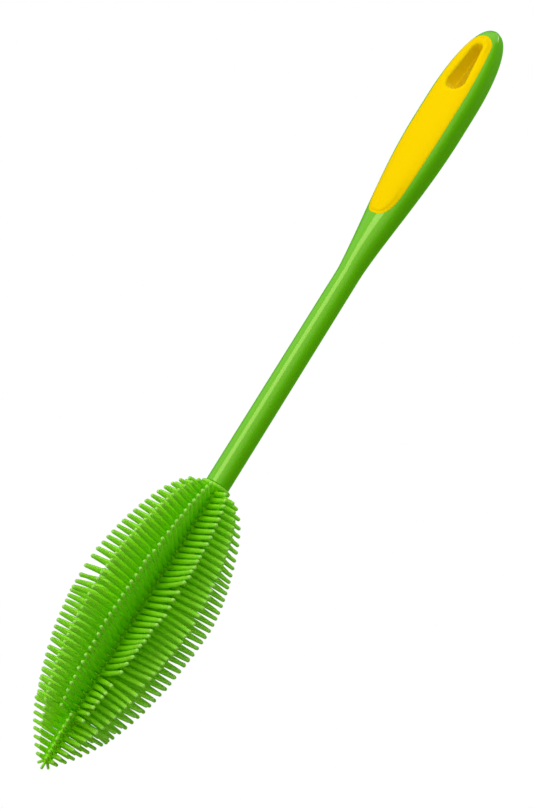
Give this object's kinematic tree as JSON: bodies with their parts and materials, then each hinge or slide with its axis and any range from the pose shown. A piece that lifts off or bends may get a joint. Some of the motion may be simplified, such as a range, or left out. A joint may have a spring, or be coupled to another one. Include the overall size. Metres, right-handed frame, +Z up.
{
  "type": "bottle brush",
  "caption": "Bottle brush: a round shaft flares into a flattened grip with a soft inlay and a hanging hole, and a core rod carries a soft head of tapered bristle rows with a domed tip.",
  "frame": {"origin": "middle of the round top of the hanging hole, on the shaft's axis, where a hook holds the brush", "axes": "+Z up along the shaft to the handle's end, -Y out of the grip's face, +X across the grip"},
  "size_m": [0.0574, 0.0574, 0.3463],
  "materials": {
    "green_plastic": "smooth glossy moulded plastic",
    "yellow_rubber": "matte soft-touch moulded rubber",
    "rod_steel": "drawn steel rod",
    "green_rubber": "satin soft moulded rubber"
  },
  "bodies": {
    "root": {"handle": "green_plastic", "soft_grip": "yellow_rubber", "core_rod": "rod_steel", "brush_head": "green_rubber"}
  },
  "joints": []
}
